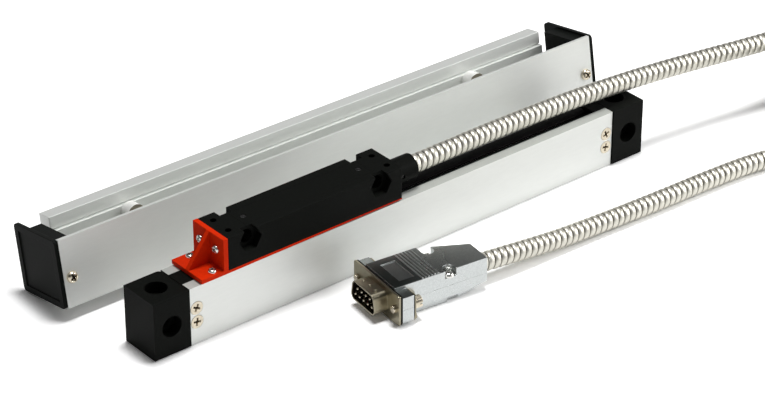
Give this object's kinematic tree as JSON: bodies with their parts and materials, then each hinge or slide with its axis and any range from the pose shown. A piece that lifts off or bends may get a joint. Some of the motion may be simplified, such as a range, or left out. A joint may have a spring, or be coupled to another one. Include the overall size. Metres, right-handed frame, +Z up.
{
  "type": "linear glass scale",
  "caption": "Sealed linear glass scale with a sliding reading head, armoured cable, nine-pin plug and its dust guard.",
  "frame": {"origin": "centre of the scale housing's base", "axes": "+X along the scale towards the cable's side of the head, +Y to the back, where the dust guard stands, +Z up"},
  "size_m": [0.4305, 0.1687, 0.0383],
  "materials": {
    "extrusion": "satin anodised",
    "black_paint": "satin",
    "seal_rubber": "matte",
    "screw_metal": "bright",
    "dark_steel": "bright",
    "optic_glass": "polished",
    "head_plate": "satin",
    "circuit": "solder mask",
    "red_paint": "gloss",
    "carriage_metal": "machined",
    "hose_steel": "bright, wound strip",
    "plug_metal": "satin plated",
    "insulator": "matte",
    "contact_gold": "bright",
    "cap_plastic": "satin"
  },
  "bodies": {
    "scale_unit": {"scale_housing": "extrusion", "end_block_left": "black_paint", "end_gasket_left": "seal_rubber", "end_block_right": "black_paint", "end_gasket_right": "seal_rubber", "wall_screws": "screw_metal", "lip_seal_front": "seal_rubber", "lip_seal_rear": "seal_rubber", "glass_scale": "optic_glass", "glass_bed": "seal_rubber"},
    "reader_head_unit": {"reader_head": "black_paint", "head_lid": "head_plate", "lid_screws": "screw_metal", "head_board": "circuit", "cable_boss": "black_paint", "boss_set_screw": "screw_metal", "transport_bracket": "red_paint", "bracket_screws": "screw_metal", "carriage_arm": "carriage_metal", "scan_carriage": "carriage_metal", "bearing_pins": "screw_metal", "index_grating": "optic_glass", "detector_board": "circuit", "led_board": "circuit", "hose_from_head": "hose_steel", "hose_coil": "hose_steel", "hose_to_plug": "hose_steel", "plug_shell": "plug_metal", "plug_insulator": "insulator", "plug_contacts": "contact_gold", "plug_hood_upper": "plug_metal", "plug_hood_lower": "plug_metal", "hood_screws": "screw_metal", "hose_ferrule": "hose_steel", "jack_clips": "dark_steel"},
    "guard": {"guard_cover": "extrusion", "guard_cap_left": "cap_plastic", "guard_cap_right": "cap_plastic", "cap_screws": "screw_metal", "guard_rail": "extrusion", "rail_bolts": "dark_steel"},
    "guide_bearing_1_body": {"guide_bearing_1": "screw_metal"},
    "guide_bearing_2_body": {"guide_bearing_2": "screw_metal"},
    "guide_bearing_3_body": {"guide_bearing_3": "screw_metal"},
    "guide_bearing_4_body": {"guide_bearing_4": "screw_metal"},
    "guide_bearing_5_body": {"guide_bearing_5": "screw_metal"},
    "jackscrew_near_body": {"jackscrew_near": "contact_gold"},
    "jackscrew_far_body": {"jackscrew_far": "contact_gold"}
  },
  "joints": [
    {"name": "head_slide", "type": "slide", "parent": "scale_unit", "child": "reader_head_unit", "axis": [1, 0, 0], "range_m": [-0.015, 0.105]},
    {"name": "guard_lift", "type": "slide", "parent": "scale_unit", "child": "guard", "axis": [0, 0, 1], "range_m": [0, 0.07]},
    {"name": "guide_bearing_1_spin", "type": "hinge", "parent": "reader_head_unit", "child": "guide_bearing_1_body", "pos_m": [-0.067, -0.00184, 0.01], "axis": [0, 0, 1], "continuous": true},
    {"name": "guide_bearing_2_spin", "type": "hinge", "parent": "reader_head_unit", "child": "guide_bearing_2_body", "pos_m": [-0.023, -0.00184, 0.01], "axis": [0, 0, 1], "continuous": true},
    {"name": "guide_bearing_3_spin", "type": "hinge", "parent": "reader_head_unit", "child": "guide_bearing_3_body", "pos_m": [-0.045, -0.00184, 0.0062], "axis": [0, 0, 1], "continuous": true},
    {"name": "guide_bearing_4_spin", "type": "hinge", "parent": "reader_head_unit", "child": "guide_bearing_4_body", "pos_m": [-0.059, 0.0017, 0.01624], "axis": [0, 1, 0], "continuous": true},
    {"name": "guide_bearing_5_spin", "type": "hinge", "parent": "reader_head_unit", "child": "guide_bearing_5_body", "pos_m": [-0.031, 0.0017, 0.01624], "axis": [0, 1, 0], "continuous": true},
    {"name": "jackscrew_near_turn", "type": "hinge", "parent": "reader_head_unit", "child": "jackscrew_near_body", "pos_m": [-0.02913, -0.0446, 0.0066], "axis": [0.9921, -0.1253, 0], "continuous": true},
    {"name": "jackscrew_far_turn", "type": "hinge", "parent": "reader_head_unit", "child": "jackscrew_far_body", "pos_m": [-0.026, -0.0198, 0.0066], "axis": [0.9921, -0.1253, 0], "continuous": true}
  ],
  "couplings": [
    {"joint": "guide_bearing_1_spin", "follows": "head_slide", "rad_per_m": 400},
    {"joint": "guide_bearing_2_spin", "follows": "head_slide", "rad_per_m": 400},
    {"joint": "guide_bearing_3_spin", "follows": "head_slide", "rad_per_m": 400},
    {"joint": "guide_bearing_4_spin", "follows": "head_slide", "rad_per_m": 400},
    {"joint": "guide_bearing_5_spin", "follows": "head_slide", "rad_per_m": 400}
  ]
}
